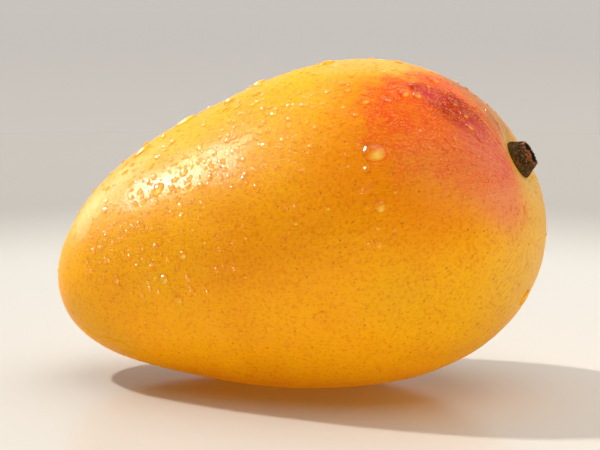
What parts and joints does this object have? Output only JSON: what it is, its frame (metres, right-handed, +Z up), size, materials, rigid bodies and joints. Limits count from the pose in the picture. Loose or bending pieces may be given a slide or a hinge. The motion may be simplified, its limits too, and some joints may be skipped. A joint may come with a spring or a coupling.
{
  "type": "mango",
  "caption": "Whole ripe mango lying on a small flat spot of its belly: blunt apex at one end, short woody stem stub in a shallow basin at the other.",
  "frame": {"origin": "centre of the small flat spot that the fruit rests on", "axes": "+X along the fruit, from the blunt apex to the stem end; +Z up, from the belly to the back; +Y side to side"},
  "size_m": [0.1217, 0.072, 0.0803],
  "materials": {
    "fruit_skin": "satin",
    "stem_wood": "matte"
  },
  "bodies": {
    "root": {"mango_fruit": "fruit_skin", "stem_stub": "stem_wood"}
  },
  "joints": []
}
